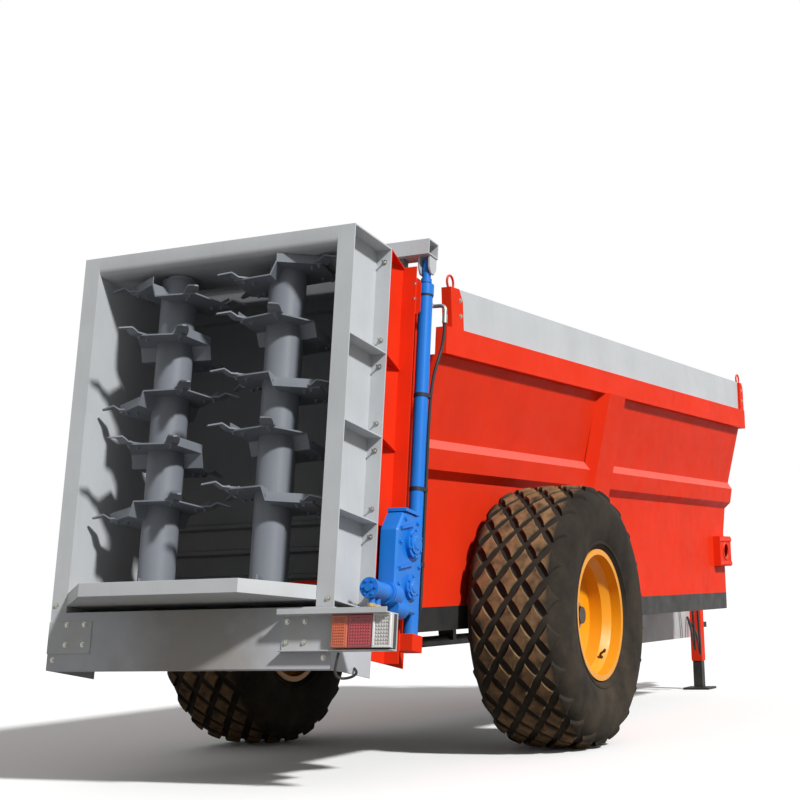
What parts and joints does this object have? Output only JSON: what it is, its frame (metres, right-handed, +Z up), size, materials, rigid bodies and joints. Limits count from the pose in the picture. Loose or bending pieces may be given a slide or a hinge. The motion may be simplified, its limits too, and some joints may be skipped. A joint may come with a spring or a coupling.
{
  "type": "fertilizer spreader",
  "caption": "Single-axle trailed fertilizer spreader with a steel hopper, moving floor, lifting rear door and upright beaters in a leaning rear frame.",
  "frame": {"origin": "centre of the overall length and width, on the ground under the tyres", "axes": "+X forward to the hitch, +Y to the left side, +Z up"},
  "size_m": [9.1206, 2.784, 2.9438],
  "materials": {
    "red_paint": "semi-gloss paint, weathered",
    "grey_paint": "semi-gloss light grey paint, dusty",
    "beater_paint": "blue-grey paint, scuffed",
    "chassis_paint": "dark grey paint, dusty",
    "floor_steel": "worn bare steel",
    "blue_paint": "gloss paint",
    "rod_chrome": "polished",
    "hose_rubber": "matte",
    "tyre_rubber": "matte, dusty",
    "rim_paint": "gloss yellow-orange paint",
    "hub_paint": "black paint",
    "lamp_plastic": "moulded",
    "lens_amber": "clear moulded",
    "lens_red": "clear moulded",
    "lens_clear": "clear moulded"
  },
  "bodies": {
    "chassis": {"access_step": "red_paint", "axle_beam": "chassis_paint", "beater_case": "chassis_paint", "beater_post_left": "grey_paint", "beater_post_right": "grey_paint", "beater_top_beam": "grey_paint", "chassis_frame": "chassis_paint", "conveyor_shafts": "floor_steel", "cylinder_hose_left": "hose_rubber", "cylinder_hose_right": "hose_rubber", "drawbar": "grey_paint", "drive_shaft": "chassis_paint", "floor_conveyor": "floor_steel", "floor_gearbox": "blue_paint", "floor_motor": "blue_paint", "front_wall": "red_paint", "hitch_eye": "chassis_paint", "hopper_floor": "floor_steel", "jack_tube": "red_paint", "lamp_brackets": "grey_paint", "lamp_housings": "lamp_plastic", "lens_amber": "lens_amber", "lens_clear": "lens_clear", "lens_red": "lens_red", "lift_cylinder_left": "blue_paint", "lift_cylinder_right": "blue_paint", "pillar_left": "red_paint", "pillar_right": "red_paint", "rear_apron": "grey_paint", "side_wall_left": "red_paint", "side_wall_right": "red_paint", "spreading_tray": "grey_paint", "top_board_left": "grey_paint", "top_board_right": "grey_paint", "top_rail_left": "red_paint", "top_rail_right": "red_paint"},
    "door": {"door_panel": "grey_paint", "door_beam": "grey_paint", "lift_rods": "rod_chrome", "rod_ends": "blue_paint"},
    "wheel_left": {"tyre_left": "tyre_rubber", "rim_left": "rim_paint", "hub_left": "hub_paint"},
    "wheel_right": {"tyre_right": "tyre_rubber", "rim_right": "rim_paint", "hub_right": "hub_paint"},
    "rotor_left": {"beater_left": "beater_paint", "paddle_disc_left": "beater_paint"},
    "rotor_right": {"beater_right": "beater_paint", "paddle_disc_right": "beater_paint"},
    "jack": {"jack_leg": "chassis_paint"}
  },
  "joints": [
    {"name": "wheel_left_spin", "type": "hinge", "parent": "chassis", "child": "wheel_left", "pos_m": [-1.82465, 1.081, 0.8], "axis": [0, 1, 0], "continuous": true},
    {"name": "wheel_right_spin", "type": "hinge", "parent": "chassis", "child": "wheel_right", "pos_m": [-1.82465, -1.081, 0.8], "axis": [0, 1, 0], "continuous": true},
    {"name": "beater_left_spin", "type": "hinge", "parent": "chassis", "child": "rotor_left", "pos_m": [-3.93689, 0.35599, 1.72287], "axis": [0.1663, 0, 0.9861], "continuous": true},
    {"name": "beater_right_spin", "type": "hinge", "parent": "chassis", "child": "rotor_right", "pos_m": [-3.93689, -0.35599, 1.72287], "axis": [0.1663, 0, 0.9861], "continuous": true},
    {"name": "door_slide", "type": "slide", "parent": "chassis", "child": "door", "axis": [0.1663, 0, 0.9861], "range_m": [0, 1.45]},
    {"name": "jack_slide", "type": "slide", "parent": "chassis", "child": "jack", "axis": [0, 0, 1], "range_m": [0, 0.15]}
  ],
  "couplings": [
    {"joint": "beater_right_spin", "follows": "beater_left_spin", "ratio": -1}
  ]
}
